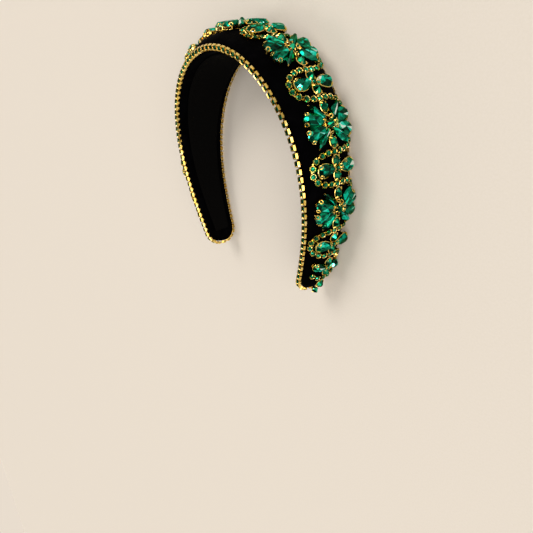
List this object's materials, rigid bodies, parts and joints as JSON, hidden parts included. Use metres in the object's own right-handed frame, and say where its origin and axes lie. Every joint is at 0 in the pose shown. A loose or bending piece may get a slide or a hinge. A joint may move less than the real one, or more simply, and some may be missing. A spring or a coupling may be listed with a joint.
{
  "type": "rhinestone tiara headband",
  "caption": "Padded black velvet headband with a tiara-like trim of green glass stones in gold-coloured settings, edged with cup chain.",
  "frame": {"origin": "below the middle of its footprint, on the surface it lies on", "axes": "+Z out of the wearer's front edge, -Y toward the crown of the head, X from one tip to the other; it lies on its rear edge"},
  "size_m": [0.154, 0.1552, 0.0479],
  "materials": {
    "velvet": "black velvet pile",
    "lining": "black woven ribbon",
    "gold_plate": "polished yellow gold plating",
    "emerald_glass": "faceted, foiled behind"
  },
  "bodies": {
    "root": {"band": "velvet", "inner_lining": "lining", "edge_chain_front": "gold_plate", "edge_chain_rear": "gold_plate", "serpentine_chain": "gold_plate", "flower_1_setting": "gold_plate", "flower_1_stones": "emerald_glass", "flower_2_setting": "gold_plate", "flower_2_stones": "emerald_glass", "flower_3_setting": "gold_plate", "flower_3_stones": "emerald_glass", "flower_4_setting": "gold_plate", "flower_4_stones": "emerald_glass", "flower_5_setting": "gold_plate", "flower_5_stones": "emerald_glass", "flower_6_setting": "gold_plate", "flower_6_stones": "emerald_glass", "flower_7_setting": "gold_plate", "flower_7_stones": "emerald_glass", "bow_1_setting": "gold_plate", "bow_1_stones": "emerald_glass", "bow_2_setting": "gold_plate", "bow_2_stones": "emerald_glass", "bow_3_setting": "gold_plate", "bow_3_stones": "emerald_glass", "bow_4_setting": "gold_plate", "bow_4_stones": "emerald_glass", "bow_5_setting": "gold_plate", "bow_5_stones": "emerald_glass", "bow_6_setting": "gold_plate", "bow_6_stones": "emerald_glass", "bow_7_setting": "gold_plate", "bow_7_stones": "emerald_glass", "bow_8_setting": "gold_plate", "bow_8_stones": "emerald_glass", "end_bow_1_setting": "gold_plate", "end_bow_1_stones": "emerald_glass", "end_bow_2_setting": "gold_plate", "end_bow_2_stones": "emerald_glass", "tip_stones_right": "gold_plate", "tip_stones_left": "gold_plate"}
  },
  "joints": []
}
